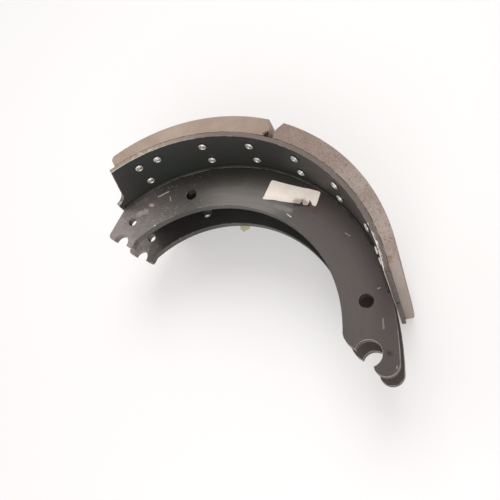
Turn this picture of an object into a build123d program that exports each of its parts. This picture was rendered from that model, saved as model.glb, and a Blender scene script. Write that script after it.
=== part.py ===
"""Brake shoe of a heavy S-cam drum brake, in millimetres and degrees.

Two flat webs are welded under a curved table. Two moulded lining blocks are riveted to the
table's outside. The webs hook over the anchor pin at one end and sit on the cam roller at
the other.

The origin is on the anchor pin's axis, halfway across the shoe. The drum's axis runs along
Z, the table's crown faces +Y and the anchor end faces +X. Angles are measured about the
drum's axis from the crown, and grow towards the anchor end.
"""

import os
from math import asin, atan2, cos, degrees, hypot, radians, sin, sqrt

from build123d import *

os.makedirs("parts", exist_ok=True)

# ---- Table ------------------------------------------------------------------------
shoe_width = 177.8
table_radius = 184.15  # hollow side, from the drum's axis
table_thickness = 4.75
table_anchor_end = 57.7
table_tongue_end = -63.5  # the cam end runs out in a tongue, narrower than the table
tongue_width = 76.0
shoulder_length = 22.4  # tongue's end to the table's full width
shoulder_start = 13.3  # tongue's end to the foot of its flare
shoulder_inset = 37.0  # table's edge to the foot of the flare
flare_sag = 2.5  # how far the flare bows into the table
anchor_corner_cut = 2.0
anchor_notch_radius = 2.5
anchor_notch_heights = (-8.0, 84.0)  # from the middle of the shoe's width

# ---- Webs -------------------------------------------------------------------------
web_thickness = 8.5
web_gap = 39.0  # clear space between the two webs
web_depth = 49.65  # table to the inner edge, at the crown
web_cam_end = -62.45  # where the cam-end edge meets the table
cam_wall = 18.9  # cam roller's axis to the cam-end corner
cam_wall_drop = 0.8
cam_corner_radius = 5.0
tip_wall = 17.0  # cam roller's axis to the face of the tip on its other side
tip_drop = 1.8
tip_rise = 8.0
cam_tip_radius = 3.0
pin_radius = 12.7
pin_depth = 20.98  # anchor pin's axis below the table
pin_angle = 76.71
notch_radius = 9.0
notch_depth = 31.25  # cam roller's axis below the table
notch_angle = -72.3
cam_hole_radius = 5.0
cam_hole_depth = 21.8
cam_hole_angle = -63.2
spring_hole_radius = 6.0
spring_hole_depth = 28.35
spring_hole_angle = -36.0
anchor_hole_radius = 7.0
anchor_hole_depth = 23.55
anchor_hole_angle = 59.1
punch_mark_right = 17.6  # from the anchor pin's axis
punch_mark_up = 7.5
punch_mark_radius = 1.7
punch_mark_depth = 1.0
weld_leg = 3.2

# ---- Lining blocks ----------------------------------------------------------------
# The rubbing face is struck from its own centre, so that each block tapers to its end.
face_over_table = 2.3  # its radius, more than that of the table's outside
face_centre_x = -1.2
face_centre_y = 17.0
cam_block_start = -54.6
cam_block_end = -1.5
anchor_block_start = 0.45
anchor_block_end = 56.1
cam_block_round = 6.0
anchor_block_round = 2.0
bevel_width = 4.4
bevel_depth = 9.5
chip_radius = 3.6

# ---- Rivets -----------------------------------------------------------------------
rivet_radius = 3.175
rivet_clearance = 0.15
head_radius = 6.35
head_height = 1.8
head_clearance = 0.4
lining_ledge = 4.8  # lining left under each rivet's head
clench_radius = 5.0
clench_height = 2.4
clench_rim_radius = 3.7
clench_bore_depth = 2.2
outer_row_inset = 15.8  # from the table's edge
inner_row_inset = 43.8
cam_inner_angles = (-8.3, -24.9, -48.35)
cam_outer_angles = (-8.3, -24.9, -41.4, -48.35)
anchor_inner_angles = (8.3, 24.9, 49.6)
anchor_outer_angles = (8.3, 24.9, 42.0, 49.6)

# ---- Worked out from the sizes above -----------------------------------------------
table_outer = table_radius + table_thickness
half_width = shoe_width / 2
face_radius = table_outer + face_over_table
web_inner_face = web_gap / 2
web_outer_face = web_inner_face + web_thickness


def polar(radius, angle):
    """Point at a radius from the drum's axis, at an angle from the crown."""
    return (radius * sin(radians(angle)), radius * cos(radians(angle)))


def beside(point, right, up):
    """Point a little way from another."""
    return (point[0] + right, point[1] + up)


pin = polar(table_radius - pin_depth, pin_angle)
notch = polar(table_radius - notch_depth, notch_angle)
drum = Plane(origin=(-pin[0], -pin[1], 0))


def across(angle):
    """Plane through the drum's axis: X runs outwards, Y along the drum."""
    outwards = polar(1, angle)
    return Plane(drum.origin, x_dir=(*outwards, 0), z_dir=(outwards[1], -outwards[0], 0))


def facing_out(radius, angle, height):
    """Plane that faces outwards at a point: X runs along the drum, Y round it."""
    x, y = polar(radius, angle)
    place = drum.origin + Vector(x, y, height)
    return Plane(place, x_dir=(0, 0, 1), z_dir=(x, y, 0))


# ---- Rivet pattern ------------------------------------------------------------------
# A rolled end seats on the hollow table just inside its radius, where its rim touches.
clench_seat = sqrt(table_radius**2 - clench_radius**2)
head_seat = table_outer + lining_ledge
outer_row = half_width - outer_row_inset
inner_row = half_width - inner_row_inset
cam_rows = {
    "upper_outer": (outer_row, cam_outer_angles),
    "upper_inner": (inner_row, cam_inner_angles),
    "lower_inner": (-inner_row, cam_inner_angles),
    "lower_outer": (-outer_row, cam_outer_angles),
}
anchor_rows = {
    "upper_outer": (outer_row, anchor_outer_angles),
    "upper_inner": (inner_row, anchor_inner_angles),
    "lower_inner": (-inner_row, anchor_inner_angles),
    "lower_outer": (-outer_row, anchor_outer_angles),
}


def rivet_planes(radius, *rows):
    """Planes that face outwards at a radius, one for each rivet in some rows."""
    return [facing_out(radius, angle, height) for height, angles in rows for angle in angles]


# ---- Table --------------------------------------------------------------------------
flare_foot = (shoulder_start, half_width - shoulder_inset)
flare_middle = (
    shoulder_start / 2 + flare_sag,
    (flare_foot[1] + tongue_width / 2) / 2 - flare_sag,
)

with BuildPart() as table:
    with BuildSketch(drum.offset(-half_width)):
        with BuildLine():
            hollow = ThreePointArc(
                polar(table_radius, table_tongue_end),
                (0, table_radius),
                polar(table_radius, table_anchor_end),
            )
            back = ThreePointArc(
                polar(table_outer, table_tongue_end),
                (0, table_outer),
                polar(table_outer, table_anchor_end),
            )
            Line(hollow @ 0, back @ 0)
            Line(hollow @ 1, back @ 1)
        make_face()
    extrude(amount=shoe_width)
    # What is cut away on both sides of the tongue. X runs round the table from its end.
    tongue_x, tongue_y = polar(table_radius, table_tongue_end)
    tongue_plane = Plane(
        drum.origin + Vector(tongue_x, tongue_y, 0),
        x_dir=(tongue_y, -tongue_x, 0),
        z_dir=(tongue_x, tongue_y, 0),
    )
    with BuildSketch(tongue_plane) as shoulders:
        with BuildLine():
            ThreePointArc((0, tongue_width / 2), flare_middle, flare_foot)
            Polyline(
                flare_foot,
                (shoulder_length, half_width),
                (shoulder_length, shoe_width),
                (-table_thickness, shoe_width),
                (-table_thickness, tongue_width / 2),
                (0, tongue_width / 2),
            )
        make_face()
        mirror(about=Plane.XZ)
    extrude(amount=3 * table_thickness, both=True, mode=Mode.SUBTRACT)
    # Holes for the rivets' shanks.
    with Locations(*rivet_planes(table_outer, *cam_rows.values(), *anchor_rows.values())):
        Hole(rivet_radius + rivet_clearance, depth=2 * table_thickness)
    # The anchor end has clipped corners and small half-round nicks in its edge.
    anchor_edges = table.edges().filter_by(
        lambda edge: abs(abs(edge.center().Z) - half_width) < 0.01
        and abs(edge.length - table_thickness) < 0.01
        and edge.center().X > drum.origin.X
    )
    chamfer(anchor_edges, anchor_corner_cut)
    with Locations(*[facing_out(table_outer, table_anchor_end, z) for z in anchor_notch_heights]):
        Hole(anchor_notch_radius, depth=2 * table_thickness)
table.part.label = "table"
export_step(table.part, "parts/table.step")

# ---- Webs ---------------------------------------------------------------------------
# Both webs are the same blank: an anchor-pin seat and nose at one end, a roller notch at
# the other, and one sweeping inner edge between them.
web_crown = (0, table_radius - web_depth)
cam_edge_top = polar(table_radius, web_cam_end)
cam_corner = beside(notch, -cam_wall, -cam_wall_drop)
cam_tip = beside(notch, tip_wall, -tip_drop)
tip_top = beside(notch, tip_wall, tip_rise)
seat_right_lip = beside(pin, 8.74, -9.2)
seat_left_lip = beside(pin, -12.6, -1.6)
throat_end = beside(pin, -14.3, -1.1)
throat_middle = beside(pin, -23.4, 1.9)
throat_start = beside(pin, -29.8, 8.5)
nose_low = beside(pin, 10.7, -12.0)
nose_tip = beside(pin, 27.5, -9.6)
nose_top = beside(pin, 29.2, 2.5)
shoulder = beside(pin, 16.4, 29.0)

with BuildSketch() as web_blank:
    with BuildLine():
        ThreePointArc(cam_edge_top, (0, table_radius), polar(table_radius, table_anchor_end))
        ThreePointArc(polar(table_radius, table_anchor_end), shoulder, nose_top)
        ThreePointArc(nose_top, nose_tip, nose_low)
        Line(nose_low, seat_right_lip)
        Line(seat_right_lip, seat_left_lip)
        Line(seat_left_lip, throat_end)
        ThreePointArc(throat_end, throat_middle, throat_start)
        ThreePointArc(throat_start, web_crown, tip_top)
        Polyline(tip_top, cam_tip, cam_corner, cam_edge_top)
    make_face()
    fillet(web_blank.vertices().sort_by_distance(cam_corner)[0], cam_corner_radius)
    fillet(web_blank.vertices().sort_by_distance(cam_tip)[0], cam_tip_radius)
    with Locations(pin):
        Circle(pin_radius, mode=Mode.SUBTRACT)
    with Locations(notch):
        Circle(notch_radius, mode=Mode.SUBTRACT)
    with Locations(polar(table_radius - cam_hole_depth, cam_hole_angle)):
        Circle(cam_hole_radius, mode=Mode.SUBTRACT)
    with Locations(polar(table_radius - spring_hole_depth, spring_hole_angle)):
        Circle(spring_hole_radius, mode=Mode.SUBTRACT)
    with Locations(polar(table_radius - anchor_hole_depth, anchor_hole_angle)):
        Circle(anchor_hole_radius, mode=Mode.SUBTRACT)

with BuildPart() as upper_web:
    with BuildSketch(drum.offset(web_inner_face)):
        add(web_blank.sketch)
    extrude(amount=web_thickness)
    # A punch mark beside the anchor-pin seat.
    with Locations(drum.offset(web_outer_face)):
        with Locations(beside(pin, punch_mark_right, punch_mark_up)):
            Hole(punch_mark_radius, depth=punch_mark_depth)
upper_web.part.label = "upper_web"
export_step(upper_web.part, "parts/upper_web.step")

with BuildPart() as lower_web:
    with BuildSketch(drum.offset(-web_inner_face)):
        add(web_blank.sketch)
    extrude(amount=-web_thickness)
lower_web.part.label = "lower_web"
export_step(lower_web.part, "parts/lower_web.step")

# ---- Welds --------------------------------------------------------------------------
# One fillet weld runs along the outer side of each web, in the corner with the table.
weld_span = table_anchor_end - web_cam_end
drum_turn = Axis(drum.origin, (0, 0, -1))

with BuildPart() as upper_weld:
    with BuildSketch(across(web_cam_end)):
        with BuildLine():
            toe_on_web = (table_radius - weld_leg, web_outer_face)
            toe_on_table = (table_radius, web_outer_face + weld_leg)
            Polyline(toe_on_web, (table_radius, web_outer_face), toe_on_table, close=True)
        make_face()
    revolve(axis=drum_turn, revolution_arc=weld_span)
upper_weld.part.label = "upper_weld"
export_step(upper_weld.part, "parts/upper_weld.step")

with BuildPart() as lower_weld:
    mirror(upper_weld.part, about=Plane.XY)
lower_weld.part.label = "lower_weld"
export_step(lower_weld.part, "parts/lower_weld.step")

# ---- Lining blocks --------------------------------------------------------------------
face_offset = hypot(face_centre_x, face_centre_y)
face_direction = degrees(atan2(face_centre_x, face_centre_y))


def on_face(angle, inset=0.0):
    """Point on the rubbing face at an angle, or a little way inside it."""
    turn = radians(angle - face_direction)
    reach = face_offset * cos(turn) + sqrt(face_radius**2 - (face_offset * sin(turn)) ** 2)
    return polar(reach - inset, angle)


bevel_turn = degrees(asin(bevel_width / face_radius))
bore_start = face_radius + face_offset + head_height


def lining_profile(joint_end, outer_end, side):
    """Outline of a block. Side is -1 where it lies on the cam side of the joint."""
    middle = (joint_end + outer_end) / 2
    bevel_top = joint_end + side * bevel_turn
    Line(polar(table_outer, joint_end), on_face(joint_end, bevel_depth))
    Line(on_face(joint_end, bevel_depth), on_face(bevel_top))
    ThreePointArc(on_face(bevel_top), on_face(middle), on_face(outer_end))
    Line(on_face(outer_end), polar(table_outer, outer_end))
    ThreePointArc(
        polar(table_outer, outer_end), polar(table_outer, middle), polar(table_outer, joint_end)
    )


with BuildPart() as cam_lining:
    with BuildSketch(drum.offset(-half_width)) as cam_block:
        with BuildLine():
            lining_profile(cam_block_end, cam_block_start, -1)
        make_face()
        fillet(
            cam_block.vertices().sort_by_distance(on_face(cam_block_start))[0], cam_block_round
        )
    extrude(amount=shoe_width)
    with Locations(*rivet_planes(bore_start, *cam_rows.values())):
        CounterBoreHole(
            rivet_radius + rivet_clearance,
            head_radius + head_clearance,
            bore_start - head_seat,
            depth=2 * (bore_start - table_radius),
        )
    # The corner beside the joint is chipped, just above the table.
    with Locations(facing_out(table_outer + 0.7 * chip_radius, cam_block_end, half_width)):
        Sphere(chip_radius, mode=Mode.SUBTRACT)
cam_lining.part.label = "cam_lining"
export_step(cam_lining.part, "parts/cam_lining.step")

with BuildPart() as anchor_lining:
    with BuildSketch(drum.offset(-half_width)) as anchor_block:
        with BuildLine():
            lining_profile(anchor_block_start, anchor_block_end, 1)
        make_face()
        fillet(
            anchor_block.vertices().sort_by_distance(on_face(anchor_block_end))[0],
            anchor_block_round,
        )
    extrude(amount=shoe_width)
    with Locations(*rivet_planes(bore_start, *anchor_rows.values())):
        CounterBoreHole(
            rivet_radius + rivet_clearance,
            head_radius + head_clearance,
            bore_start - head_seat,
            depth=2 * (bore_start - table_radius),
        )
anchor_lining.part.label = "anchor_lining"
export_step(anchor_lining.part, "parts/anchor_lining.step")

# ---- Rivets ---------------------------------------------------------------------------
# A flat head seats on the lining's ledge, and the tubular end is rolled over on the table.
grip = head_seat - clench_seat

with BuildPart() as rivet:
    with BuildSketch(Plane.XZ):
        with BuildLine():
            Polyline(
                (0, grip + head_height),
                (head_radius, grip + head_height),
                (head_radius, grip),
                (rivet_radius, grip),
                (rivet_radius, 0),
                (clench_radius, 0),
                (clench_rim_radius, -clench_height),
                (0, clench_bore_depth - clench_height),
                close=True,
            )
        make_face()
    revolve(axis=Axis.Z)

for block, rows in (("cam", cam_rows), ("anchor", anchor_rows)):
    for row in rows:
        with BuildPart() as rivet_group:
            with Locations(*rivet_planes(clench_seat, rows[row])):
                add(rivet.part)
        rivet_group.part.label = f"{block}_lining_rivets_{row}"
        export_step(rivet_group.part, f"parts/{block}_lining_rivets_{row}.step")
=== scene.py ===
import math
import random

import bmesh
import bpy
from mathutils import Matrix, Vector, noise


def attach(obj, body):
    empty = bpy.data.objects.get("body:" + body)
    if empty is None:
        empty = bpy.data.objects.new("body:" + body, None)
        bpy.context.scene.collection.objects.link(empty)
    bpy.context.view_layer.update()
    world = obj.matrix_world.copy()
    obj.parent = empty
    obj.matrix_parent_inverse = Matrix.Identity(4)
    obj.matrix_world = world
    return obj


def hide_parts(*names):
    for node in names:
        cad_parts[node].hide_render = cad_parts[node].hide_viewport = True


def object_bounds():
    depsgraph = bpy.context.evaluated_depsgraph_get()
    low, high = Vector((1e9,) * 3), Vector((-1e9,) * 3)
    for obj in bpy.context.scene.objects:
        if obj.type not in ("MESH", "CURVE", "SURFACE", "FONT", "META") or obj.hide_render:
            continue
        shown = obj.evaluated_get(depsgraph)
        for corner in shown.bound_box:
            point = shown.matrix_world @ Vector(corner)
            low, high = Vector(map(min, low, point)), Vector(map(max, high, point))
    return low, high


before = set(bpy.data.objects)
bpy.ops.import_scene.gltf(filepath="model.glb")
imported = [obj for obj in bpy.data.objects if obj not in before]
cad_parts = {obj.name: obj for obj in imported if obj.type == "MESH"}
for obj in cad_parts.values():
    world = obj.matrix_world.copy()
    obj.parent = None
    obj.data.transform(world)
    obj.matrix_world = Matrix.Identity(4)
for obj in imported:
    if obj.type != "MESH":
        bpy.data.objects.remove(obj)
cad_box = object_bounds()

# ---- Studio ---------------------------------------------------------------------------
# The shoe lies on one side of its table, on pale card, and the view looks down across the
# near web. Three soft lamps light it: one over the crown, a weak one beyond the cam end
# and a lower one on the open side of the arch.
MM = 0.001
PIN_FROM_DRUM = Vector((158.80, 37.51, 0.0))  # the frame's origin, from the drum's axis
EYE = (273.77, -42.99, 571.57)
SIGHT = Vector((-0.43312, 0.21376, -0.87562))
UPRIGHT = Vector((0.0, 0.586, 0.810))
LENS = 43.07
SENSOR = 36
MIDDLE = (0, 110, 0)  # the lamps point here, and the card is centred under it
CARD_HALF_SIDE = 4.0
CARD_GLOW = 0.34  # share of the card's white that shadows don't take away
ALL_GLOW = (0.5, 1.2)  # metres from the pin over which that share grows to the whole
DAYLIGHT = 0.46  # the world's strength on the shoe
BACKDROP = 1.0  # and its strength where it is seen, straight or mirrored


def spot(x, y, z):
    """A place in the frame, from millimetres counted from the drum's axis."""
    return (Vector((x, y, z)) - PIN_FROM_DRUM) * MM


def tone(red, green, blue):
    """A colour as a screen shows it, from 0 to 255, in the linear values that nodes take."""
    shares = [value / 255 for value in (red, green, blue)]
    return (*(s / 12.92 if s < 0.04045 else ((s + 0.055) / 1.055) ** 2.4 for s in shares), 1.0)


def put(tree, kind, inputs=None, **settings):
    """Adds a shader node with its settings, then sets or links its inputs."""
    node = tree.nodes.new("ShaderNode" + kind)
    for name, value in settings.items():
        setattr(node, name, value)
    for name, value in (inputs or {}).items():
        if isinstance(value, bpy.types.NodeSocket):
            tree.links.new(value, node.inputs[name])
        else:
            node.inputs[name].default_value = value
    return node


CARD_WHITE = tone(240, 239, 239)
CARD_LIGHT = tone(250, 248, 247)
SKY_WHITE = tone(255, 249, 246)

camera_data = bpy.data.cameras.new("camera")
camera_data.sensor_width = SENSOR
camera_data.lens = LENS
camera = bpy.data.objects.new("camera", camera_data)
view_right = SIGHT.cross(UPRIGHT).normalized()
view_up = view_right.cross(SIGHT).normalized()
camera_turn = Matrix((view_right, view_up, -SIGHT)).transposed().to_4x4()
camera.matrix_world = Matrix.Translation(spot(*EYE)) @ camera_turn
bpy.context.scene.collection.objects.link(camera)
bpy.context.scene.camera = camera
bpy.context.scene.view_settings.view_transform = "Standard"

card_shape = bmesh.new()
bmesh.ops.create_grid(card_shape, x_segments=1, y_segments=1, size=CARD_HALF_SIDE)
card_middle = spot(*MIDDLE)
card_middle.z = cad_box[0][2]
bmesh.ops.translate(card_shape, verts=card_shape.verts, vec=card_middle)
card_mesh = bpy.data.meshes.new("card")
card_shape.to_mesh(card_mesh)
card_shape.free()
card = bpy.data.objects.new("card", card_mesh)
bpy.context.scene.collection.objects.link(card)
card_paper = bpy.data.materials.new("card_paper")
card_paper.use_nodes = True
card_skin = card_paper.node_tree.nodes["Principled BSDF"]
card_skin.inputs["Base Color"].default_value = CARD_WHITE
card_skin.inputs["Roughness"].default_value = 0.9
card_skin.inputs["Specular IOR Level"].default_value = 0.0
card_tree = card_paper.node_tree
card_rays = put(card_tree, "LightPath")
card_reach = put(card_tree, "VectorMath", {0: put(card_tree, "TexCoord").outputs["Object"]},
                 operation="LENGTH")
far_away = put(card_tree, "MapRange", {
    "Value": card_reach.outputs["Value"], "From Min": ALL_GLOW[0], "From Max": ALL_GLOW[1],
    "To Min": CARD_GLOW, "To Max": 1.0}, interpolation_type="SMOOTHSTEP")
card_share = put(card_tree, "Math", {0: card_rays.outputs["Is Camera Ray"],
                                     1: far_away.outputs[0]}, operation="MULTIPLY")
card_glow = put(card_tree, "Emission", {"Color": CARD_LIGHT})
card_mix = put(card_tree, "MixShader", {0: card_share.outputs[0], 1: card_skin.outputs[0],
                                        2: card_glow.outputs[0]})
card_tree.links.new(card_mix.outputs[0], card_tree.nodes["Material Output"].inputs[0])
card_mesh.materials.append(card_paper)

studio = bpy.data.worlds.new("studio")
bpy.context.scene.world = studio
studio.use_nodes = True
studio_tree = studio.node_tree
studio_tree.nodes.clear()
rays = put(studio_tree, "LightPath")
shown = put(studio_tree, "Math", {0: rays.outputs["Is Camera Ray"],
                                  1: rays.outputs["Is Glossy Ray"]}, operation="MAXIMUM")
shown = put(studio_tree, "Math", {0: shown.outputs[0],
                                  1: rays.outputs["Is Transmission Ray"]}, operation="MAXIMUM")
daylight = put(studio_tree, "MapRange", {"Value": shown.outputs[0], "To Min": DAYLIGHT,
                                         "To Max": BACKDROP})
sky = put(studio_tree, "Background", {"Color": SKY_WHITE, "Strength": daylight.outputs[0]})
put(studio_tree, "OutputWorld", {"Surface": sky.outputs[0]})

LAMPS = {
    "soft_lamp": {"direction": (-0.12, 0.48, 0.86), "distance": 1.4, "size": 0.9, "watts": 11.0},
    "side_lamp": {"direction": (-0.80, 0.10, 0.60), "distance": 1.3, "size": 0.7, "watts": 2.5},
    "low_lamp": {"direction": (0.45, -0.60, 0.66), "distance": 1.4, "size": 0.9, "watts": 10.5},
}
for name, lamp in LAMPS.items():
    lamp_data = bpy.data.lights.new(name, "AREA")
    lamp_data.shape = "SQUARE"
    lamp_data.size = lamp["size"]
    lamp_data.energy = lamp["watts"]
    lamp_object = bpy.data.objects.new(name, lamp_data)
    away = Vector(lamp["direction"]).normalized()
    lamp_turn = (-away).to_track_quat("-Z", "Y").to_matrix().to_4x4()
    lamp_object.matrix_world = (
        Matrix.Translation(spot(*MIDDLE) + away * lamp["distance"]) @ lamp_turn)
    bpy.context.scene.collection.objects.link(lamp_object)

# ---- Table ------------------------------------------------------------------------------
# A steel plate pressed to the drum's curve, with a tongue at the cam end. It is dipped in
# thin black paint with the webs, and its sheared edges are rubbed by handling and stacking.
# The hollow's colour also holds painted light, lighter and browner towards the anchor end, and
# painted shade between the webs.
HOLLOW = 184.15  # radii from the drum's axis
BACK = 188.90
PAINTED_LIGHT_AT = (0.1, 0.7)  # angles from the crown, in radians, over which a colour comes in
SMEAR_AT = (-0.88, -1.10)
DULL_AT = (-0.4, 0.7)
TAN_AT = (-0.28, -0.66)
CAM_RUB = (-0.30, -0.80)
ANCHOR_RUB = (0.66, 0.84)
TAN_RIM = (0.080, 0.087)  # metres from the middle of the shoe
GAP_SHADE = (0.0205, 0.0190)
EDGE_ON = (0.6, 0.3)  # levels between a face that follows the drum and a cut edge
HOLLOW_BLACK = tone(42, 41, 40)
HOLLOW_GREEN = tone(39, 44, 40)
HOLLOW_PAINTED_LIGHT = tone(78, 69, 66)
HOLLOW_GREY = tone(84, 78, 76)
SHADE_BETWEEN_WEBS = tone(18, 18, 17)
SHEARED_EDGE = tone(100, 90, 84)
DULL_EDGE = tone(88, 78, 72)
TAN_EDGE = tone(140, 127, 114)
RUBBED_EDGE = tone(205, 197, 188)
BARE_STEEL = tone(214, 207, 199)


def work_out(tree, operation, *values):
    """One sum on numbers or sockets."""
    return put(tree, "Math", dict(enumerate(values)), operation=operation).outputs[0]


def times(tree, one, other):
    """A product: where two masks both hold, or one of them made weaker."""
    return work_out(tree, "MULTIPLY", one, other)


def rise(tree, value, low, high, top=1.0):
    """Climbs smoothly from 0 to top while a value goes from low to high."""
    return put(tree, "MapRange", {"Value": value, "From Min": low, "From Max": high,
                                  "To Max": top}, interpolation_type="SMOOTHSTEP").outputs[0]


def spread(tree, value, bottom, top):
    """Stretches a value from 0 to 1 between two numbers."""
    return put(tree, "MapRange", {"Value": value, "To Min": bottom, "To Max": top}).outputs[0]


def tint(tree, amount, under, over):
    """Lays one colour over another."""
    return put(tree, "Mix", {0: amount, 6: under, 7: over}, data_type="RGBA").outputs[2]


def cloud(tree, place, scale, detail=4.0, roughness=0.6, distortion=0.0):
    """Cloudy noise, with its scale in patches to the metre."""
    return put(tree, "TexNoise", {"Vector": place, "Scale": scale, "Detail": detail,
                                  "Roughness": roughness, "Distortion": distortion}).outputs[0]


def new_group(name, takes, gives):
    """An empty shader node group, with its input and output nodes."""
    group = bpy.data.node_groups.new(name, "ShaderNodeTree")
    for socket, (kind, value) in takes.items():
        group.interface.new_socket(
            socket, in_out="INPUT", socket_type="NodeSocket" + kind).default_value = value
    for socket, kind in gives.items():
        group.interface.new_socket(socket, in_out="OUTPUT", socket_type="NodeSocket" + kind)
    return group, group.nodes.new("NodeGroupInput").outputs, group.nodes.new("NodeGroupOutput")


def use(tree, group, inputs=None):
    """Places a shared group in a material with its own values, and gives its outputs."""
    node = tree.nodes.new("ShaderNodeGroup")
    node.node_tree = group
    for name, value in (inputs or {}).items():
        if isinstance(value, bpy.types.NodeSocket):
            tree.links.new(value, node.inputs[name])
        else:
            node.inputs[name].default_value = value
    return node.outputs


def new_finish(name):
    """A material with its surface shader and its tree."""
    finish = bpy.data.materials.new(name)
    finish.use_nodes = True
    return finish, finish.node_tree.nodes["Principled BSDF"], finish.node_tree


def coat(tree, skin, colour, roughness, normal, shine, metal=None):
    """Links a material's last colour and its other values to its surface shader."""
    tree.links.new(colour, skin.inputs["Base Color"])
    tree.links.new(roughness, skin.inputs["Roughness"])
    if normal:
        tree.links.new(normal.outputs[0], skin.inputs["Normal"])
    if metal:
        tree.links.new(metal, skin.inputs["Metallic"])
    skin.inputs["Specular IOR Level"].default_value = shine


def dress(finish, *nodes):
    """Gives CAD nodes their finish."""
    for node in nodes:
        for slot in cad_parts[node].material_slots:
            slot.material = finish


# Rubbed edges: the mask is 1 where a corner has lost its paint.
edge_rub, taken, given = new_group(
    "edge_rub", {"Radius": ("Float", 0.001), "Amount": ("Float", 0.4)},
    {"Mask": "Float", "Normal": "Vector"})
rounded = put(edge_rub, "Bevel", {"Radius": taken["Radius"]}, samples=6).outputs[0]
true_normal = put(edge_rub, "NewGeometry").outputs["True Normal"]
agreement = put(edge_rub, "VectorMath", {0: rounded, 1: true_normal}, operation="DOT_PRODUCT")
corner = rise(edge_rub, work_out(edge_rub, "SUBTRACT", 1.0, agreement.outputs["Value"]),
              0.015, 0.14)
edge_place = put(edge_rub, "TexCoord").outputs["Object"]
patchy = work_out(edge_rub, "ADD", cloud(edge_rub, edge_place, 140.0), taken["Amount"])
rubbed = times(edge_rub, corner, rise(edge_rub, patchy, 0.75, 1.0))
edge_rub.links.new(rubbed, given.inputs["Mask"])
edge_rub.links.new(rounded, given.inputs["Normal"])

# An uneven skin: fine grain, soft clouds and scattered specks.
skin_film, taken, given = new_group(
    "skin_film", {"Fine": ("Float", 900.0), "Broad": ("Float", 25.0)},
    {"Grain": "Float", "Cloud": "Float", "Specks": "Float"})
film_place = put(skin_film, "TexCoord").outputs["Object"]
dots = put(skin_film, "TexVoronoi", {"Vector": film_place, "Scale": taken["Fine"]})
skin_film.links.new(cloud(skin_film, film_place, taken["Fine"]), given.inputs["Grain"])
skin_film.links.new(cloud(skin_film, film_place, taken["Broad"]), given.inputs["Cloud"])
skin_film.links.new(rise(skin_film, dots.outputs["Distance"], 0.24, 0.08),
                    given.inputs["Specks"])

# Where a point lies round the drum: its angle from the crown, in radians, its radius, and
# a level that is 1 on faces that follow the drum and 0 on cut edges.
drum_place, taken, given = new_group(
    "drum_place", {"Turn": ("Float", 0.0)},
    {"Angle": "Float", "Radius": "Float", "Level": "Float"})
from_drum = put(drum_place, "Mapping", {
    "Vector": put(drum_place, "TexCoord").outputs["Object"], "Location": PIN_FROM_DRUM * MM})
drum_axes = put(drum_place, "SeparateXYZ", {0: from_drum.outputs[0]}).outputs
bearing = work_out(drum_place, "ARCTAN2", drum_axes[0], drum_axes[1])
drum_place.links.new(work_out(drum_place, "ADD", bearing, taken["Turn"]),
                     given.inputs["Angle"])
across_axis = put(drum_place, "CombineXYZ", {0: drum_axes[0], 1: drum_axes[1]})
reach = put(drum_place, "VectorMath", {0: across_axis.outputs[0]}, operation="LENGTH")
drum_place.links.new(reach.outputs["Value"], given.inputs["Radius"])
outwards = put(drum_place, "VectorMath", {0: across_axis.outputs[0]}, operation="NORMALIZE")
level = put(drum_place, "VectorMath", {
    0: outwards.outputs[0], 1: put(drum_place, "NewGeometry").outputs["True Normal"]},
    operation="DOT_PRODUCT")
drum_place.links.new(work_out(drum_place, "ABSOLUTE", level.outputs["Value"]),
                     given.inputs["Level"])

table_finish, table_skin, table_tree = new_finish("table_paint")
film = use(table_tree, skin_film, {"Fine": 700.0, "Broad": 16.0})
rim = use(table_tree, edge_rub, {"Radius": 0.0009, "Amount": 0.30})
lie = use(table_tree, drum_place)
paint = tint(table_tree, rise(table_tree, film["Cloud"], 0.4, 0.7), HOLLOW_BLACK, HOLLOW_GREEN)
# Painted light: the hollow is lighter and browner towards the anchor end.
painted_light_to_anchor = rise(table_tree, lie["Angle"], *PAINTED_LIGHT_AT, 0.85)
paint = tint(table_tree, painted_light_to_anchor, paint, HOLLOW_PAINTED_LIGHT)
smear = rise(table_tree, lie["Angle"], *SMEAR_AT, 0.5)
smear = times(table_tree, smear, spread(table_tree, film["Cloud"], 0.5, 1.2))
paint = tint(table_tree, smear, paint, HOLLOW_GREY)
on_edge = rise(table_tree, lie["Level"], *EDGE_ON)
from_middle = work_out(table_tree, "ABSOLUTE", put(table_tree, "SeparateXYZ", {
    0: put(table_tree, "TexCoord").outputs["Object"]}).outputs[2])
edge_paint = tint(table_tree, rise(table_tree, lie["Angle"], *DULL_AT), SHEARED_EDGE, DULL_EDGE)
tan = times(table_tree, rise(table_tree, lie["Angle"], *TAN_AT),
            rise(table_tree, from_middle, *TAN_RIM, 0.85))
edge_paint = tint(table_tree, tan, edge_paint, TAN_EDGE)
paint = tint(table_tree, on_edge, paint, edge_paint)
# Painted shade: the hollow between the webs is darkened to near black.
painted_shade_between_webs = times(
    table_tree, rise(table_tree, from_middle, *GAP_SHADE, 0.6),
    rise(table_tree, lie["Radius"], (HOLLOW + 1.0) * MM, (HOLLOW + 0.3) * MM))
paint = tint(table_tree, painted_shade_between_webs, paint, SHADE_BETWEEN_WEBS)
streaks = put(table_tree, "CombineXYZ", {0: times(table_tree, lie["Angle"], 26.0),
                                         1: times(table_tree, lie["Radius"], 260.0)})
scuff = cloud(table_tree, streaks.outputs[0], 1.0, 5.0, 0.7)
inner_rim = rise(table_tree, lie["Radius"], (HOLLOW + 1.3) * MM, HOLLOW * MM, 0.16)
cam_part = rise(table_tree, lie["Angle"], *CAM_RUB, 0.24)
cam_part = work_out(table_tree, "ADD", cam_part, inner_rim)
anchor_part = times(
    table_tree, rise(table_tree, lie["Angle"], *ANCHOR_RUB, 0.27),
    rise(table_tree, lie["Radius"], (HOLLOW + 3.4) * MM, (HOLLOW + 1.4) * MM))
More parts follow.
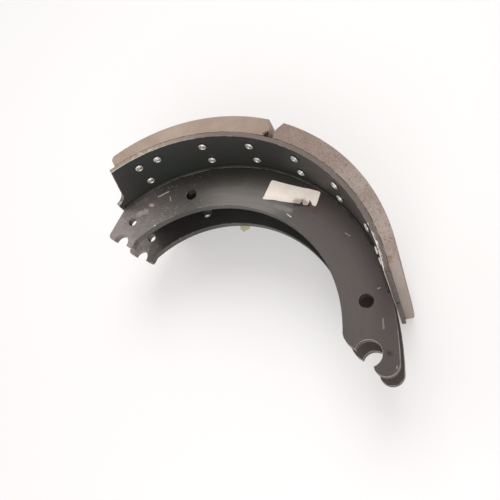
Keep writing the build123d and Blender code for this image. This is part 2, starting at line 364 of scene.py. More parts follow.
worn = work_out(table_tree, "ADD", scuff, work_out(table_tree, "ADD", cam_part, anchor_part))
worn = times(table_tree, rise(table_tree, worn, 0.74, 0.92), on_edge)
paint = tint(table_tree, worn, paint, RUBBED_EDGE)
paint = tint(table_tree, rim["Mask"], paint, BARE_STEEL)
bump = put(table_tree, "Bump", {"Height": film["Grain"], "Strength": 0.2, "Distance": 0.0003,
                                "Normal": rim["Normal"]})
coat(table_tree, table_skin, paint, spread(table_tree, film["Grain"], 0.42, 0.62), bump, 0.3,
     times(table_tree, rim["Mask"], 0.5))
dress(table_finish, "table")

# ---- Webs -------------------------------------------------------------------------------
# Two flat plates flame-cut from one blank and set side by side under the table. The same
# paint has a satin haze here, dustier towards the cam end, with scratches from handling.
# The colour also holds painted light and shade: a sheen under the crown, shade close under the
# table, towards the anchor end, on the inner faces, on the cut edges round the arch and in two
# holes.
WEB_FACE = 28.0  # outer side of the near web, from the middle of the shoe
WEB_BLACK = tone(44, 42, 39)
WEB_HAZE = tone(82, 78, 74)
WEB_SHEEN = tone(124, 120, 116)
WEB_SHADE_BROWN = tone(65, 55, 53)
WEB_SHADE = tone(22, 21, 20)
HOLE_SHADE = tone(16, 13, 12)
SHADED_HOLES = (((-250.377, 88.535, 0.0), 6.0),  # millimetres from the pin, and radii
              ((-20.995, 44.965, 0.0), 7.0))
CAM_DUST = tone(126, 117, 114)
CHALKY = tone(196, 191, 184)
SHEEN_FROM = (-0.70, -0.35)  # angles from the crown, in radians
SHEEN_TO = (0.22, -0.06)
BROWN_SHADE_AT = (0.05, 0.5)
DUST_FROM = (-0.60, -1.20)
HEAVY_FROM = (-0.92, -1.08)
GRIT_FROM = (-0.40, -0.65)
LOW_FROM = (-0.55, -0.85)
SHADE_FROM = (-1.17, -1.05)
SHADE_TO = (0.90, 0.60)
SHADE_BY_TABLE = (0.158, 0.180)  # radii from the drum's axis, in metres
SHEEN_BELOW = (0.168, 0.146)
LOW_BELOW = (0.158, 0.138)
ARCH_RIM = (0.150, 0.145)
RIM_LEVEL = (0.75, 0.92)  # levels of a face that follows the drum
SEAT_WEAR = (0.045, 0.020)  # metres from the anchor pin's axis
DUST_BELOW = (0.0500, 0.0465)  # metres above the pin, towards the crown
SHADE_SLANT = 0.173  # slope of the shade's edge at the cam end
SHADE_EDGE = (-0.2970, -0.2930)  # metres from the pin where that edge crosses its height
INNER_FACE = (0.0205, 0.0196)  # metres from the middle of the shoe
# Each mark runs between two ends, in millimetres from the drum's axis. The higher its
# wear, the more of it is gone.
MARKS = {
    "punch": {"ends": ((176.3, 45.0), (176.5, 45.1)), "width": 4.6, "wear": -0.5,
              "colour": tone(42, 37, 35)},
    "scratch": {"ends": ((-130, 111), (-120.5, 121)), "width": 0.9, "wear": 0.25,
                "colour": tone(196, 190, 178)},
    "nick": {"ends": ((-116, 116), (-112, 111.5)), "width": 0.8, "wear": 0.35,
             "colour": tone(160, 154, 148)},
    "smudge": {"ends": ((-134, 98.8), (-131.5, 99.6)), "width": 2.6, "wear": 0.45,
               "colour": tone(196, 182, 174)},
    "chalk": {"ends": ((-142, 84), (-136, 90)), "width": 5.0, "wear": 0.43,
              "colour": tone(154, 151, 139)},
    "speck": {"ends": ((-115.8, 78.1), (-115.4, 78.4)), "width": 0.9, "wear": 0.1,
              "colour": tone(214, 206, 200)},
    "rust_dot": {"ends": ((-142.9, 97.2), (-142.5, 97.6)), "width": 1.2, "wear": 0.3,
                 "colour": tone(132, 96, 88)},
    "hook_scratch": {"ends": ((91.4, 139.8), (97.0, 138.3)), "width": 0.5, "wear": 0.3,
                     "colour": tone(148, 144, 138)},
    "long_scuff": {"ends": ((110.0, 132.7), (116.7, 120.6)), "width": 1.6, "wear": 0.72,
                   "colour": tone(120, 114, 110)},
    "side_speck": {"ends": ((143.2, 97.6), (144.6, 99.0)), "width": 0.6, "wear": 0.2,
                   "colour": tone(168, 158, 152)},
    "label_scuff": {"ends": ((9.4, 144.6), (26.5, 144.4)), "width": 4.0, "wear": 0.45,
                    "colour": tone(122, 117, 112)},
    "label_scratch": {"ends": ((24.9, 139.6), (30.5, 137.9)), "width": 0.7, "wear": 0.25,
                      "colour": tone(204, 198, 190)},
    "rust": {"ends": ((40.0, 152.0), (54.0, 156.0)), "width": 9.0, "wear": 0.40,
             "colour": tone(72, 55, 45)},
    # Painted shadow under the label's torn, lifted edge.
    "shadow_under_tear": {"ends": ((29.0, 152.6), (42.0, 156.5)), "width": 3.4, "wear": 0.2,
                  "colour": tone(18, 13, 10)},
    "seat_smudge": {"ends": ((158.6, 72.0), (162.5, 64.0)), "width": 1.2, "wear": 0.32,
                    "colour": tone(110, 102, 98)},
    "toe_nick": {"ends": ((186.5, 36.5), (187.0, 34.5)), "width": 0.6, "wear": 0.3,
                 "colour": tone(150, 143, 138)},
}

# A mark from one point to another, broken up where its noise is low.
mark, taken, given = new_group(
    "mark", {"Start": ("Vector", (0, 0, 0)), "End": ("Vector", (0, 0, 0)),
             "Width": ("Float", 0.001), "Wear": ("Float", 0.3)}, {"Mask": "Float"})
mark_place = put(mark, "TexCoord").outputs["Object"]
shaken = put(mark, "TexNoise", {"Vector": mark_place, "Scale": 260.0, "Detail": 3.0})
jitter = put(mark, "VectorMath", {0: shaken.outputs["Color"], 1: (0.5, 0.5, 0.5)},
             operation="SUBTRACT").outputs[0]
sway = put(mark, "VectorMath", {0: jitter, "Scale": taken["Width"]}, operation="SCALE")
swayed = put(mark, "VectorMath", {0: mark_place, 1: sway.outputs[0]}, operation="ADD").outputs[0]
run = put(mark, "VectorMath", {0: taken["End"], 1: taken["Start"]}, operation="SUBTRACT")
from_start = put(mark, "VectorMath", {0: swayed, 1: taken["Start"]}, operation="SUBTRACT")
along = put(mark, "VectorMath", {0: from_start.outputs[0], 1: run.outputs[0]},
            operation="DOT_PRODUCT").outputs["Value"]
run_squared = put(mark, "VectorMath", {0: run.outputs[0], 1: run.outputs[0]},
                  operation="DOT_PRODUCT").outputs["Value"]
share = put(mark, "Math", {0: along, 1: run_squared}, operation="DIVIDE", use_clamp=True)
nearest = put(mark, "VectorMath", {0: run.outputs[0], "Scale": share.outputs[0]},
              operation="SCALE")
off_line = put(mark, "VectorMath", {0: from_start.outputs[0], 1: nearest.outputs[0]},
               operation="DISTANCE").outputs["Value"]
thinness = work_out(mark, "DIVIDE", off_line, taken["Width"])
flecks = cloud(mark, mark_place, 900.0, 3.0)
kept = rise(mark, work_out(mark, "SUBTRACT", flecks, taken["Wear"]), -0.12, 0.12)
mark.links.new(times(mark, rise(mark, thinness, 1.0, 0.35), kept),
               given.inputs["Mask"])

web_finish, web_skin, web_tree = new_finish("web_paint")
film = use(web_tree, skin_film, {"Fine": 800.0, "Broad": 22.0})
lie = use(web_tree, drum_place)
web_here = put(web_tree, "TexCoord").outputs["Object"]
from_pin = put(web_tree, "SeparateXYZ", {0: web_here}).outputs
in_plane = put(web_tree, "CombineXYZ", {0: from_pin[0], 1: from_pin[1]}).outputs[0]
pin_reach = put(web_tree, "VectorMath", {0: in_plane}, operation="LENGTH").outputs["Value"]
rim = use(web_tree, edge_rub, {"Radius": 0.0007, "Amount": work_out(
    web_tree, "ADD", rise(web_tree, pin_reach, *SEAT_WEAR, 0.35), 0.22)})
sweep = put(web_tree, "CombineXYZ", {0: times(web_tree, lie["Angle"], 3.0),
                                     1: times(web_tree, lie["Radius"], 240.0)})
brushed = cloud(web_tree, sweep.outputs[0], 1.0, 4.0, 0.6)
haze_and_shade = rise(web_tree, work_out(web_tree, "MULTIPLY_ADD", film["Cloud"], 0.6,
                               times(web_tree, brushed, 0.4)), 0.38, 0.6)
# Painted shade: the haze fades out close under the table, so the webs darken there.
painted_shade_by_table = rise(web_tree, lie["Radius"], *SHADE_BY_TABLE)
haze_and_shade = times(web_tree, spread(web_tree, haze_and_shade, 0.45, 1.0),
             spread(web_tree, painted_shade_by_table, 1.0, 0.0))
paint = tint(web_tree, haze_and_shade, WEB_BLACK, WEB_HAZE)
# Painted sheen: a lighter patch under the crown stands for a reflection on the satin paint.
painted_sheen = times(web_tree, rise(web_tree, lie["Angle"], *SHEEN_FROM),
              rise(web_tree, lie["Angle"], *SHEEN_TO))
painted_sheen = times(web_tree, painted_sheen, rise(web_tree, lie["Radius"], *SHEEN_BELOW))
painted_sheen = times(web_tree, painted_sheen, spread(web_tree, brushed, 0.35, 1.1))
paint = tint(web_tree, painted_sheen, paint, WEB_SHEEN)
# Painted shade: the webs are darker and browner towards the anchor end.
paint = tint(web_tree, rise(web_tree, lie["Angle"], *BROWN_SHADE_AT, 0.7), paint, WEB_SHADE_BROWN)
dust_edge = work_out(web_tree, "ADD", from_pin[1],
                     spread(web_tree, cloud(web_tree, web_here, 60.0), -0.004, 0.004))
heavy = times(web_tree, rise(web_tree, dust_edge, *DUST_BELOW, 0.95),
              rise(web_tree, lie["Angle"], *HEAVY_FROM))
dust = work_out(web_tree, "MAXIMUM", rise(web_tree, lie["Angle"], *DUST_FROM, 0.75), heavy)
blotches = rise(web_tree, cloud(web_tree, web_here, 48.0, 5.0, 0.65), 0.36, 0.62)
dust = times(web_tree, dust, spread(web_tree, blotches, 0.62, 1.15))
paint = tint(web_tree, dust, paint, CAM_DUST)
grit_patch = rise(web_tree, cloud(web_tree, web_here, 60.0, 5.0, 0.7), 0.44, 0.58)
grit = use(web_tree, skin_film, {"Fine": 420.0, "Broad": 30.0})["Specks"]
grit = times(web_tree, grit, grit_patch)
grit = times(web_tree, grit, rise(web_tree, lie["Angle"], *GRIT_FROM, 0.8))
low_down = times(web_tree, rise(web_tree, lie["Radius"], *LOW_BELOW),
                 rise(web_tree, lie["Angle"], *LOW_FROM))
fine_grit = rise(web_tree, cloud(web_tree, web_here, 700.0, 3.0, 0.7), 0.56, 0.68)
fine_grit = times(web_tree, fine_grit, times(web_tree, low_down, 0.5))
grit = work_out(web_tree, "MAXIMUM", grit, fine_grit)
paint = tint(web_tree, grit, paint, CHALKY)
# Painted shade on the webs' inner faces, with a slanted edge at the cam end where the near web's
# shadow falls on the far one.
inner_face = rise(web_tree, work_out(web_tree, "ABSOLUTE", from_pin[2]), *INNER_FACE, 0.85)
slant = work_out(web_tree, "MULTIPLY_ADD", from_pin[1], SHADE_SLANT, from_pin[0])
painted_inner_shade = work_out(web_tree, "MAXIMUM", rise(web_tree, slant, *SHADE_EDGE, 0.58),
                rise(web_tree, lie["Angle"], *SHADE_FROM))
painted_inner_shade = times(web_tree, painted_inner_shade, rise(web_tree, lie["Angle"], *SHADE_TO))
paint = tint(web_tree, times(web_tree, inner_face, painted_inner_shade), paint, WEB_SHADE)
# Painted shade on the cut edges round the inside of the arch.
painted_rim_shade = times(web_tree, rise(web_tree, lie["Level"], *RIM_LEVEL, 0.5),
                 rise(web_tree, lie["Radius"], *ARCH_RIM))
paint = tint(web_tree, painted_rim_shade, paint, WEB_SHADE)
# Painted shade in the bores of two holes, on both webs.
for middle, radius in SHADED_HOLES:
    off_axis = put(web_tree, "VectorMath", {0: in_plane, 1: Vector(middle) * MM},
                   operation="DISTANCE").outputs["Value"]
    painted_hole_shade = rise(web_tree, off_axis, (radius + 0.35) * MM, (radius + 0.1) * MM, 0.8)
    paint = tint(web_tree, painted_hole_shade, paint, HOLE_SHADE)
paint = tint(web_tree, rim["Mask"], paint, BARE_STEEL)
for line in MARKS.values():
    start, end = (spot(*point, WEB_FACE) for point in line["ends"])
    touched = use(web_tree, mark, {"Start": start, "End": end, "Width": line["width"] * MM,
                                   "Wear": line["wear"]})
    paint = tint(web_tree, touched["Mask"], paint, line["colour"])
bump = put(web_tree, "Bump", {"Height": film["Grain"], "Strength": 0.25, "Distance": 0.0003,
                              "Normal": rim["Normal"]})
coat(web_tree, web_skin, paint, spread(web_tree, film["Cloud"], 0.36, 0.6), bump, 0.35,
     times(web_tree, rim["Mask"], 0.5))
dress(web_finish, "upper_web", "lower_web")

# ---- Welds ------------------------------------------------------------------------------
# One machine-laid fillet weld joins each web's outer side to the table. The bead is a row
# of frozen ripples, painted over, and it stands a little proud between its two toes.
WELD_LEG = 3.2
WELD_START = math.radians(-62.45)
WELD_END = math.radians(57.7)
# The bead's section: how far in from the hollow, and how far out from the web.
BEAD = [(0.0, 0.0), (0.0, WELD_LEG), (0.75, 2.6), (1.55, 1.75), (2.4, 0.85), (WELD_LEG, 0.0)]
THROAT = 1.6  # from the corner to the middle of the bead
RIPPLES = 130
STEPS_PER_RIPPLE = 3
LAG = 1.2  # how far each ripple trails behind in the middle of the bead
RIPPLE_RISE = 0.30
RIPPLE_SINK = 0.12
UNEVEN = 0.25
RIDGE = 2.5  # from the table's hollow to the painted highlight along the bead
RIDGE_GLINT = tone(104, 98, 89)
WELD_BLACK = tone(10, 10, 9)
WELD_GREY = tone(25, 24, 23)
WELD_SPECK = tone(110, 105, 98)


def keep(shape, name, finish, slot, *replaced):
    """Turns a finished shape into a piece of the shoe, in place of the CAD nodes named."""
    mesh = bpy.data.meshes.new(name)
    shape.to_mesh(mesh)
    shape.free()
    piece = bpy.data.objects.new(name, mesh)
    bpy.context.scene.collection.objects.link(piece)
    mesh.materials.append(finish)
    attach(piece, "root")
    if replaced:
        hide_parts(*replaced)


def weld_bead(side):
    """The bead on one web. Side is 1 for the near web and -1 for the far one."""
    shape = bmesh.new()
    ring = [shape.verts.new(((HOLLOW - inward) * math.sin(WELD_START),
                             (HOLLOW - inward) * math.cos(WELD_START),
                             side * (WEB_FACE + out))) for inward, out in BEAD]
    loop = [shape.edges.new((ring[i - 1], ring[i])) for i in range(len(ring))]
    bmesh.ops.spin(shape, geom=ring + loop, cent=(0, 0, 0), axis=(0, 0, -1),
                   angle=WELD_END - WELD_START, steps=RIPPLES * STEPS_PER_RIPPLE,
                   use_merge=False, use_duplicate=False)
    bmesh.ops.holes_fill(shape, edges=[e for e in shape.edges if e.is_boundary], sides=0)
    for vert in shape.verts:
        angle = math.atan2(vert.co.x, vert.co.y)
        radius = math.hypot(vert.co.x, vert.co.y)
        out = abs(vert.co.z) - WEB_FACE
        free = min(out, HOLLOW - radius) / THROAT  # 0 in the corner and at both toes
        phase = (angle - WELD_START) / (WELD_END - WELD_START) * RIPPLES + LAG * free
        lift = free * (RIPPLE_RISE * abs(math.sin(math.pi * phase)) - RIPPLE_SINK)
        lift += UNEVEN * free * noise.noise(Vector((angle * 60, side * 9.0, free)))
        vert.co.x -= math.sin(angle) * lift
        vert.co.y -= math.cos(angle) * lift
        vert.co.z += side * lift
    bmesh.ops.recalc_face_normals(shape, faces=shape.faces)
    bmesh.ops.translate(shape, verts=shape.verts, vec=-PIN_FROM_DRUM)
    bmesh.ops.scale(shape, verts=shape.verts, vec=(MM, MM, MM))
    for face in shape.faces:
        face.smooth = True
    return shape


weld_finish, weld_skin, weld_tree = new_finish("weld_paint")
film = use(weld_tree, skin_film, {"Fine": 900.0, "Broad": 90.0})
paint = tint(weld_tree, rise(weld_tree, film["Cloud"], 0.35, 0.65), WELD_BLACK, WELD_GREY)
paint = tint(weld_tree, times(weld_tree, film["Specks"], 0.4), paint, WELD_SPECK)
lie = use(weld_tree, drum_place)
# Painted highlight: a thin light line along the bead's ridge.
off_ridge = work_out(weld_tree, "SUBTRACT", lie["Radius"], (HOLLOW - RIDGE) * MM)
painted_glint = rise(weld_tree, work_out(weld_tree, "ABSOLUTE", off_ridge), 0.00045, 0.00015, 0.75)
painted_glint = times(weld_tree, painted_glint, rise(weld_tree, film["Cloud"], 0.30, 0.55))
paint = tint(weld_tree, painted_glint, paint, RIDGE_GLINT)
bump = put(weld_tree, "Bump", {"Height": film["Grain"], "Strength": 0.3, "Distance": 0.0003})
coat(weld_tree, weld_skin, paint, spread(weld_tree, film["Cloud"], 0.5, 0.7), bump, 0.25)
keep(weld_bead(1), "upper_weld_bead", weld_finish, "black_paint", "upper_weld")
keep(weld_bead(-1), "lower_weld_bead", weld_finish, "black_paint", "lower_weld")

# ---- Lining blocks ------------------------------------------------------------------------
# Friction compound: resin, fibre and metal chips pressed in a mould, then ground outside to
# the drum's radius. The two blocks come from different batches, one smooth and one mottled.
# The compound's colour also holds painted shade towards the crown and in the chip, and painted
# light on the blocks' end faces.
CAM_CLAY = tone(148, 132, 119)
CAM_PALE = tone(166, 151, 138)
CAM_RED = tone(148, 124, 112)
ANCHOR_CLAY = tone(136, 120, 112)
ANCHOR_PALE = tone(154, 142, 134)
ANCHOR_DARK = tone(106, 90, 84)
END_FACE_LIGHT = tone(196, 184, 176)
CROWN_SHADE_BROWN = tone(110, 92, 80)
GRIT_RED = tone(126, 98, 90)
JOINT_DIRT = tone(50, 40, 36)
CHIP = spot(-3.6, 189.8, 88.2)
CHIP_REACH = (0.0064, 0.0054)  # metres over which its painted shade ends
CHIP_SHADE = tone(52, 33, 29)
CROWN_AT = (0.75, 0.05)  # angles either side of the crown, in radians
GRIT_AT = (-0.62, -0.88)
JOINT = (BACK + 0.9, BACK + 0.3)  # radii over which the dirt by the table comes in
WIDE = 88.9  # outer side of the linings, from the middle of the shoe
STAIN = ((155.5, 109.5), (158.0, 103.5))  # from one end to the other
STAIN_BROWN = tone(112, 86, 62)


def lining(name, under, over, blotch, mottle, roughness):
    """One batch of compound. Mottle is how strongly its fibres show."""
    finish, skin, tree = new_finish(name)
    film = use(tree, skin_film, {"Fine": 1100.0, "Broad": 30.0})
    here = put(tree, "TexCoord").outputs["Object"]
    fibres = cloud(tree, here, 560.0, 6.0, 0.72, 0.4)
    body = tint(tree, rise(tree, film["Cloud"], 0.3, 0.7), under, over)
    body = tint(tree, rise(tree, fibres, 0.50, 0.64, mottle), body, over)
    body = tint(tree, rise(tree, fibres, 0.49, 0.36, mottle), body, blotch)
    stains = cloud(tree, here, 170.0, 3.0, 0.6, 0.4)
    body = tint(tree, rise(tree, stains, 0.62, 0.72, 0.8 * mottle), body, blotch)
    body = tint(tree, times(tree, film["Specks"], 0.5 * mottle), body, blotch)
    lie = use(tree, drum_place)
    # Painted shade: both blocks are darker and browner towards the crown.
    crown = rise(tree, work_out(tree, "ABSOLUTE", lie["Angle"]), *CROWN_AT, 0.34)
    body = tint(tree, crown, body, CROWN_SHADE_BROWN)
    red_grit = times(tree, rise(tree, fibres, 0.48, 0.56),
                     rise(tree, lie["Angle"], *GRIT_AT, 0.55))
    body = tint(tree, red_grit, body, GRIT_RED)
    uneven = spread(tree, cloud(tree, here, 220.0, 4.0, 0.7), -1.0 * MM, 1.0 * MM)
    near_table = work_out(tree, "ADD", lie["Radius"], uneven)
    foot = rise(tree, near_table, JOINT[0] * MM, JOINT[1] * MM, 0.85)
    # Painted shade in and round the chipped corner.
    chipped = put(tree, "VectorMath", {0: here, 1: CHIP}, operation="DISTANCE")
    ragged = work_out(tree, "ADD", chipped.outputs["Value"],
                      spread(tree, cloud(tree, here, 420.0, 3.0, 0.7), -0.0030, 0.0030))
    body = tint(tree, rise(tree, ragged, *CHIP_REACH), body, CHIP_SHADE)
    stain = use(tree, mark, {"Start": spot(*STAIN[0], WIDE), "End": spot(*STAIN[1], WIDE),
                             "Width": 0.0045, "Wear": 0.40})
    body = tint(tree, times(tree, stain["Mask"], 0.7), body, STAIN_BROWN)
    rim = use(tree, edge_rub, {"Radius": 0.0008, "Amount": 0.25})
    body = tint(tree, times(tree, rim["Mask"], 0.45), body, CAM_PALE)
    body = tint(tree, foot, body, JOINT_DIRT)
    ground = rise(tree, lie["Level"], 0.8, 0.95)
    facing = put(tree, "SeparateXYZ", {0: put(tree, "NewGeometry").outputs["True Normal"]})
    along = put(tree, "Mapping", {"Vector": here, "Scale": (0.05, 0.05, 1.0)}).outputs[0]
    streaks = cloud(tree, along, 1500.0, 2.0)
    lines = times(tree, rise(tree, streaks, 0.46, 0.62, 0.5), ground)
    body = tint(tree, lines, body, under)
    # Painted light: the blocks' end faces are lighter, as light bounced off the floor would make
    # them.
    upright = rise(tree, work_out(tree, "ABSOLUTE", facing.outputs[2]), 0.5, 0.2, 0.35)
    painted_end_light = times(tree, upright, rise(tree, lie["Level"], 0.93, 0.80))
    body = tint(tree, painted_end_light, body, END_FACE_LIGHT)
    height = work_out(tree, "ADD", times(tree, streaks, ground), film["Grain"])
    height = work_out(tree, "ADD", height, fibres)
    bump = put(tree, "Bump", {"Height": height, "Strength": 0.3, "Distance": 0.0004,
                              "Normal": rim["Normal"]})
    coat(tree, skin, body, spread(tree, film["Grain"], roughness - 0.1, roughness + 0.1),
         bump, 0.25)
    return finish


cam_compound = lining("cam_compound", CAM_CLAY, CAM_PALE, CAM_RED, 0.32, 0.80)
anchor_compound = lining("anchor_compound", ANCHOR_CLAY, ANCHOR_PALE, ANCHOR_DARK, 0.85, 0.85)
dress(cam_compound, "cam_lining")
dress(anchor_compound, "anchor_lining")

# ---- Rivets -------------------------------------------------------------------------------
# Plated steel tubular rivets: a flat head sits deep in the lining, and the hollow end is
# rolled over on the table's hollow side by a die that leaves a bar across the bore.
GRIP = 9.62  # from the table's hollow side to the seat of the head
SHANK = 3.175
ROLL_REACH = 5.0  # the rolled end stands on the hollow this far from its axis
BORE = 2.3
BAR_HALF_WIDTH = 0.75
BAR_HEIGHT = -1.7
RIVET_STEPS = 32
# The rolled end and the head, as radii and heights over the hollow.
ROLL = [(0.0, 0.4), (0.6, 0.4), (1.2, 0.4), (1.8, 0.4), (2.2, 0.1), (2.35, -1.5),
        (2.7, -2.15), (3.2, -2.4), (3.8, -2.2), (4.4, -1.6), (4.65, -0.8), (4.5, 0.0)]
HEAD = [(SHANK, 0.0), (SHANK, GRIP), (6.35, GRIP), (6.35, GRIP + 1.45), (6.0, GRIP + 1.8),
        (0.0, GRIP + 1.8)]
ROWS = {"upper_outer": 73.1, "upper_inner": 45.1, "lower_inner": -45.1, "lower_outer": -73.1}
# Degrees from the crown.
ROW_ANGLES = {
    "cam_outer": (-8.3, -24.9, -41.4, -48.35), "cam_inner": (-8.3, -24.9, -48.35),
    "anchor_outer": (8.3, 24.9, 42.0, 49.6), "anchor_inner": (8.3, 24.9, 49.6),
}
BORE_MOUTH = (0.1829, 0.1837)  # radii from the drum's axis, in metres
BORE_FOOT = (0.1900, 0.1890)
PLATED_DULL = tone(168, 166, 162)
PLATED_PALE = tone(208, 207, 204)
PLATED_SPECK = tone(120, 112, 104)
BORE_SHADE = tone(38, 36, 35)
random.seed(7)  # each rivet is turned by its own amount


def add_rivet(shape, angle, height, spin_by):
    """Spins one rivet and sets it in its hole, turned a little about its own axis."""
    before = set(shape.verts)
    outline = [shape.verts.new((radius, 0.0, z)) for radius, z in ROLL + HEAD]
    sides = [shape.edges.new(pair) for pair in zip(outline, outline[1:])]
    bmesh.ops.spin(shape, geom=outline + sides, cent=(0, 0, 0), axis=(0, 0, 1),
                   angle=2 * math.pi, steps=RIVET_STEPS, use_merge=True, use_duplicate=False)
    made = [vert for vert in shape.verts if vert not in before]
    for vert in made:
        reach = math.hypot(vert.co.x, vert.co.y)
        if reach < BORE and vert.co.z < 1.0 and abs(vert.co.y) < BAR_HALF_WIDTH:
            vert.co.z = BAR_HEIGHT
    out = Vector((math.sin(math.radians(angle)), math.cos(math.radians(angle)), 0.0))
    axes = Matrix((Vector((0, 0, 1)), out.cross(Vector((0, 0, 1))), out)).transposed()
    seat = out * math.sqrt(HOLLOW ** 2 - ROLL_REACH ** 2)
    seat += Vector((0, 0, height)) - PIN_FROM_DRUM
    place = Matrix.Translation(seat) @ axes.to_4x4() @ Matrix.Rotation(spin_by, 4, "Z")
    bmesh.ops.transform(shape, matrix=place, verts=made)


rivet_finish, rivet_skin, rivet_tree = new_finish("rivet_plating")
film = use(rivet_tree, skin_film, {"Fine": 1500.0, "Broad": 220.0})
plating = tint(rivet_tree, rise(rivet_tree, film["Cloud"], 0.3, 0.7), PLATED_DULL, PLATED_PALE)
plating = tint(rivet_tree, times(rivet_tree, film["Specks"], 0.35), plating, PLATED_SPECK)
lie = use(rivet_tree, drum_place)
# Painted shade down the bore of each rolled end.
painted_bore_shade = times(rivet_tree, rise(rivet_tree, lie["Radius"], *BORE_MOUTH),
                  rise(rivet_tree, lie["Radius"], *BORE_FOOT))
plating = tint(rivet_tree, painted_bore_shade, plating, BORE_SHADE)
bump = put(rivet_tree, "Bump", {"Height": film["Grain"], "Strength": 0.2, "Distance": 0.0002})
coat(rivet_tree, rivet_skin, plating, spread(rivet_tree, film["Cloud"], 0.25, 0.5), bump, 0.5)
rivet_skin.inputs["Metallic"].default_value = 0.75

for block in ("cam", "anchor"):
    for row, height in ROWS.items():
        rivets = bmesh.new()
        for angle in ROW_ANGLES[f"{block}_{row.split('_')[1]}"]:
            add_rivet(rivets, angle, height, random.uniform(0.9, 1.6))
        bmesh.ops.remove_doubles(rivets, verts=rivets.verts, dist=0.01)
        bmesh.ops.recalc_face_normals(rivets, faces=rivets.faces)
        bmesh.ops.scale(rivets, verts=rivets.verts, vec=(MM, MM, MM))
        for face in rivets.faces:
            face.smooth = True
        keep(rivets, f"{block}_rivets_{row}", rivet_finish, "rivet_steel",
             f"{block}_lining_rivets_{row}")

# ---- Label --------------------------------------------------------------------------------
# A blank cream paper label glued to the near web. Its lower edge is torn in two places and
# has come unstuck, so it curls up off the paint a little.
# Its corners, in millimetres from the drum's axis.
LABEL_OUTLINE = [
    (-8.9, 169.0), (-8.3, 170.5), (-7.0, 171.0), (10.8, 171.5), (29.5, 172.7), (36.2, 173.6),
    (46.0, 173.9), (48.2, 173.4), (48.8, 172.1), (50.8, 157.6), (49.9, 156.6), (46.9, 156.9),
    (44.6, 159.2), (41.2, 161.9), (41.9, 158.4), (41.5, 155.6), (38.1, 154.2), (36.0, 155.4),
    (35.0, 158.2), (33.5, 160.6), (33.9, 157.0), (33.4, 153.9), (30.6, 153.6), (14.7, 150.9),
    (5.5, 149.8), (-6.9, 146.8), (-8.0, 147.0), (-8.5, 148.3),
]
LABEL_THICK = 0.14
LABEL_GLUE = 0.04  # between the web and the label
CURL = 1.5
LABEL_FOOT = 147.5  # the lower edge's height over the drum's axis, at LABEL_LEFT
LABEL_LEFT = -8.0
LABEL_SLOPE = 0.165
CURL_DEPTH = 5.0  # how far up from the lower edge the curl begins
PAPER_PALE = tone(255, 245, 235)
PAPER_CREAM = tone(245, 230, 219)
PAPER_HANDLED = tone(214, 196, 180)
PAPER_STAIN = tone(116, 94, 82)
TEAR = ((29.5, 155.5), (37.5, 157.0))


def sheet(outline, height, thick, lift):
    """A thin sheet lying at a height, lifted by lift(x, y) and thickened to one side."""
    shape = bmesh.new()
    shape.faces.new([shape.verts.new((x, y, height)) for x, y in outline])
    for number, axis in enumerate((Vector((1, 0, 0)), Vector((0, 1, 0)))):
        places = [point[number] for point in outline]
        for cut in range(math.ceil(min(places)) + 1, math.floor(max(places)), 2):
            bmesh.ops.bisect_plane(
                shape, geom=shape.verts[:] + shape.edges[:] + shape.faces[:],
                plane_co=axis * cut, plane_no=axis)
    for vert in shape.verts:
        vert.co.z += lift(vert.co.x, vert.co.y)
    grown = bmesh.ops.extrude_face_region(shape, geom=shape.faces[:])["geom"]
    bmesh.ops.translate(shape, vec=(0, 0, thick),
                        verts=[part for part in grown if isinstance(part, bmesh.types.BMVert)])
    bmesh.ops.recalc_face_normals(shape, faces=shape.faces)
    bmesh.ops.translate(shape, verts=shape.verts, vec=-PIN_FROM_DRUM)
    bmesh.ops.scale(shape, verts=shape.verts, vec=(MM, MM, MM))
    return shape


def label_lift(x, y):
    """How far the label's lower edge has curled off the web."""
    loose = max(0.0, 1.0 - (y - LABEL_FOOT - LABEL_SLOPE * (x - LABEL_LEFT)) / CURL_DEPTH)
    waves = 0.6 + 0.5 * noise.noise(Vector((x * 0.13, 3.0, 0.0)))
    return CURL * waves * loose ** 1.6


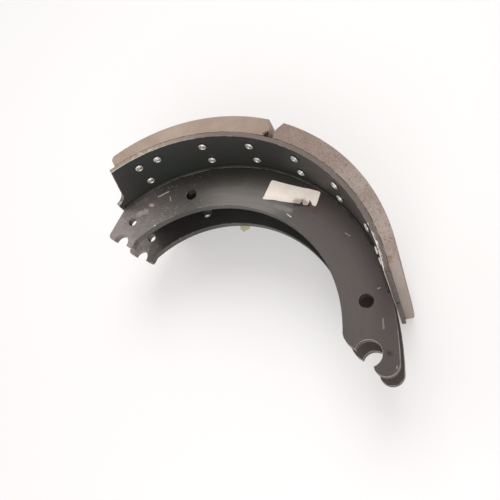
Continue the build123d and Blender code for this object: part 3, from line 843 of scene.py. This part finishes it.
label_finish, label_skin, label_tree = new_finish("label_paper")
film = use(label_tree, skin_film, {"Fine": 1600.0, "Broad": 70.0})
paper = tint(label_tree, rise(label_tree, film["Cloud"], 0.4, 0.75), PAPER_PALE, PAPER_CREAM)
label_here = put(label_tree, "TexCoord").outputs["Object"]
handled = rise(label_tree, cloud(label_tree, label_here, 240.0, 3.0, 0.6, 1.0), 0.6, 0.78, 0.35)
paper = tint(label_tree, handled, paper, PAPER_HANDLED)
torn = use(label_tree, mark, {"Start": spot(*TEAR[0], WEB_FACE), "End": spot(*TEAR[1], WEB_FACE),
                              "Width": 0.0060, "Wear": 0.34})
paper = tint(label_tree, times(label_tree, torn["Mask"], 0.6), paper, PAPER_STAIN)
bump = put(label_tree, "Bump", {"Height": film["Grain"], "Strength": 0.15, "Distance": 0.0002})
coat(label_tree, label_skin, paper, spread(label_tree, film["Grain"], 0.55, 0.75), bump, 0.25)
label_shape = sheet(LABEL_OUTLINE, WEB_FACE + LABEL_GLUE, LABEL_THICK, label_lift)
keep(label_shape, "blank_label", label_finish, None)

# ---- Tape scrap -----------------------------------------------------------------------------
# A scrap of thin clear tape, yellowed by its glue, stuck to the outer side of the far web.
# Half of it has come away and shows past the web's inner edge.
TAPE_OUTLINE = [
    (-50.5, 131.0), (-38.5, 135.0), (-36.5, 131.0), (-35.6, 126.9), (-38.6, 124.2),
    (-39.6, 122.6), (-41.6, 120.9), (-43.2, 122.4), (-45.8, 122.6), (-48.6, 127.2),
]
TAPE_THICK = 0.08
TAPE_GLUE = 0.03  # between the web and the tape
STUCK_ABOVE = 127.0  # the tape hangs free below this height over the drum's axis
DROOP = 0.05
GLUE_YELLOW = tone(206, 208, 158)
GLUE_PALE = tone(226, 224, 186)


def tape_lift(_, y):
    """How far the free end hangs off the line of the web's side."""
    return -DROOP * max(0.0, STUCK_ABOVE - y) ** 1.4


tape_finish, tape_skin, tape_tree = new_finish("clear_tape")
film = use(tape_tree, skin_film, {"Fine": 1400.0, "Broad": 160.0})
glue = tint(tape_tree, rise(tape_tree, film["Cloud"], 0.35, 0.65), GLUE_YELLOW, GLUE_PALE)
tape_tree.links.new(spread(tape_tree, film["Cloud"], 0.45, 0.8), tape_skin.inputs["Alpha"])
coat(tape_tree, tape_skin, glue, spread(tape_tree, film["Grain"], 0.25, 0.45), None, 0.5)
tape_shape = sheet(TAPE_OUTLINE, -WEB_FACE - TAPE_GLUE, -TAPE_THICK, tape_lift)
keep(tape_shape, "clear_tape", tape_finish, None)
